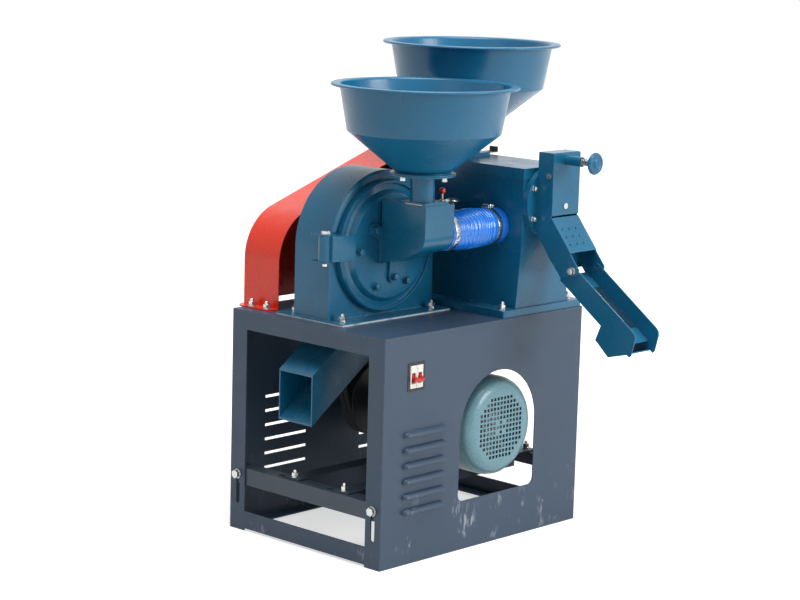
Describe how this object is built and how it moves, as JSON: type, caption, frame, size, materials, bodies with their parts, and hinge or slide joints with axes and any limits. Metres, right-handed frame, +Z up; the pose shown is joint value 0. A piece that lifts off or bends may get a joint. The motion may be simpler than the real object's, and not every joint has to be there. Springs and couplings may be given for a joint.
{
  "type": "rice huller",
  "caption": "Rice huller and grain crusher on a sheet steel cabinet, with feed hoppers, a belt drive, a hinged crusher door, a sieve trough and a discharge chute.",
  "frame": {"origin": "centre of the bounding box's underside, on the floor", "axes": "+X along the louvred front panel towards the mill, -Y out of that panel, +Z up"},
  "size_m": [0.6769, 0.7188, 1],
  "materials": {
    "cabinet_paint": "satin grey-blue stoving paint",
    "teal_paint": "glossy teal enamel over rough castings and welds",
    "guard_paint": "glossy orange-red enamel",
    "motor_paint": "hammered blue-green paint",
    "zinc": "bright zinc plate",
    "steel": "bare steel with light wear",
    "iron": "bare cast iron, machined on the grooves",
    "belt_rubber": "black fabric-backed rubber",
    "hose_plastic": "bright blue ribbed flexible hose",
    "white_plastic": "moulded white plastic",
    "red_plastic": "moulded red plastic"
  },
  "bodies": {
    "root": {"cabinet_top": "cabinet_paint", "front_panel": "cabinet_paint", "back_panel": "cabinet_paint", "left_end_frame": "cabinet_paint", "right_end_frame": "cabinet_paint", "breaker_body": "white_plastic", "crusher_housing": "teal_paint", "crusher_screen": "steel", "crusher_bearing_hub": "teal_paint", "discharge_chute": "teal_paint", "hinge_pin": "zinc", "hose": "hose_plastic", "hose_clamp_mill_end": "steel", "mill_base": "teal_paint", "mill_housing": "teal_paint", "mill_cover": "teal_paint", "mill_barrel": "iron", "mill_sieve": "steel", "mill_bearing_hub": "teal_paint", "bearings": "steel", "rear_neck": "teal_paint", "rear_hopper": "teal_paint", "outlet_flange": "teal_paint", "outlet_box": "teal_paint", "outlet_cover": "teal_paint", "outlet_guard_plate": "teal_paint", "pressure_spring": "steel", "belt_guard": "guard_paint", "machine_bolts": "zinc", "crusher_belts": "belt_rubber", "mill_belts": "belt_rubber"},
    "toggle": {"breaker_toggle": "red_plastic"},
    "carriage": {"cross_rails": "cabinet_paint", "motor_rails": "cabinet_paint", "carriage_bolts": "zinc", "motor_body": "motor_paint", "fan_cover": "motor_paint", "terminal_box": "motor_paint"},
    "motor_rotor": {"motor_shaft": "steel", "motor_fan": "white_plastic", "motor_pulley": "iron"},
    "crusher_shaft": {"crusher_rotor": "iron", "crusher_pulley": "iron"},
    "mill_shaft": {"mill_rotor": "iron", "mill_pulley": "iron"},
    "door": {"crusher_door": "teal_paint", "stator_ring": "iron", "feed_box": "teal_paint", "front_neck": "teal_paint", "front_hopper": "teal_paint", "door_fasteners": "zinc", "hose_clamp_crusher_end": "steel"},
    "latch": {"latch_screw": "zinc"},
    "front_gate": {"feed_gate": "steel"},
    "rear_gate": {"mill_gate": "steel"},
    "flap": {"pressure_flap": "iron"},
    "pressure_screw": {"pressure_rod": "steel"},
    "pressure_handwheel": {"pressure_knob": "teal_paint"},
    "trough": {"sieve_trough": "teal_paint", "trough_mesh": "steel"}
  },
  "joints": [
    {"name": "breaker_switch", "type": "hinge", "parent": "root", "child": "toggle", "pos_m": [-0.238, -0.08959, 0.3765], "axis": [1, 0, 0], "range_deg": [-52, 0]},
    {"name": "carriage_slide", "type": "slide", "parent": "root", "child": "carriage", "axis": [0, 0, 1], "range_m": [-0.048, 0], "deforming": ["crusher_belts", "mill_belts"]},
    {"name": "motor_spin", "type": "hinge", "parent": "carriage", "child": "motor_rotor", "pos_m": [0.025, 0.27541, 0.235], "axis": [0, 1, 0], "continuous": true},
    {"name": "crusher_spin", "type": "hinge", "parent": "root", "child": "crusher_shaft", "pos_m": [-0.1455, 0.27541, 0.604], "axis": [0, 1, 0], "continuous": true},
    {"name": "mill_spin", "type": "hinge", "parent": "root", "child": "mill_shaft", "pos_m": [0.1425, 0.31141, 0.69], "axis": [0, 1, 0], "continuous": true},
    {"name": "door_hinge", "type": "hinge", "parent": "root", "child": "door", "pos_m": [-0.312, 0.09141, 0.604], "axis": [0, 0, 1], "range_deg": [-100, 0], "deforming": ["hose"]},
    {"name": "latch_turn", "type": "hinge", "parent": "door", "child": "latch", "pos_m": [0.025, 0.06541, 0.68], "axis": [0, 0, 1], "range_deg": [-360, 360]},
    {"name": "front_gate_slide", "type": "slide", "parent": "door", "child": "front_gate", "axis": [1, 0, 0], "range_m": [0, 0.048]},
    {"name": "rear_gate_slide", "type": "slide", "parent": "root", "child": "rear_gate", "axis": [1, 0, 0], "range_m": [0, 0.048]},
    {"name": "flap_swing", "type": "hinge", "parent": "root", "child": "flap", "pos_m": [0.1425, -0.12659, 0.748], "axis": [1, 0, 0], "range_deg": [-14, 0]},
    {"name": "pressure_travel", "type": "slide", "parent": "root", "child": "pressure_screw", "axis": [0, 1, 0], "range_m": [-0.003, 0], "deforming": ["pressure_spring"]},
    {"name": "pressure_turn", "type": "hinge", "parent": "pressure_screw", "child": "pressure_handwheel", "pos_m": [0.1425, -0.21459, 0.779], "axis": [0, 1, 0], "range_deg": [-720, 0]},
    {"name": "trough_swing", "type": "hinge", "parent": "root", "child": "trough", "pos_m": [0.1425, -0.19659, 0.564], "axis": [1, 0, 0], "range_deg": [-10, 12]}
  ],
  "couplings": [
    {"joint": "crusher_spin", "follows": "motor_spin", "ratio": 1.7391},
    {"joint": "mill_spin", "follows": "motor_spin", "ratio": 0.47368},
    {"joint": "pressure_turn", "follows": "pressure_travel", "rad_per_m": 4188.8}
  ]
}
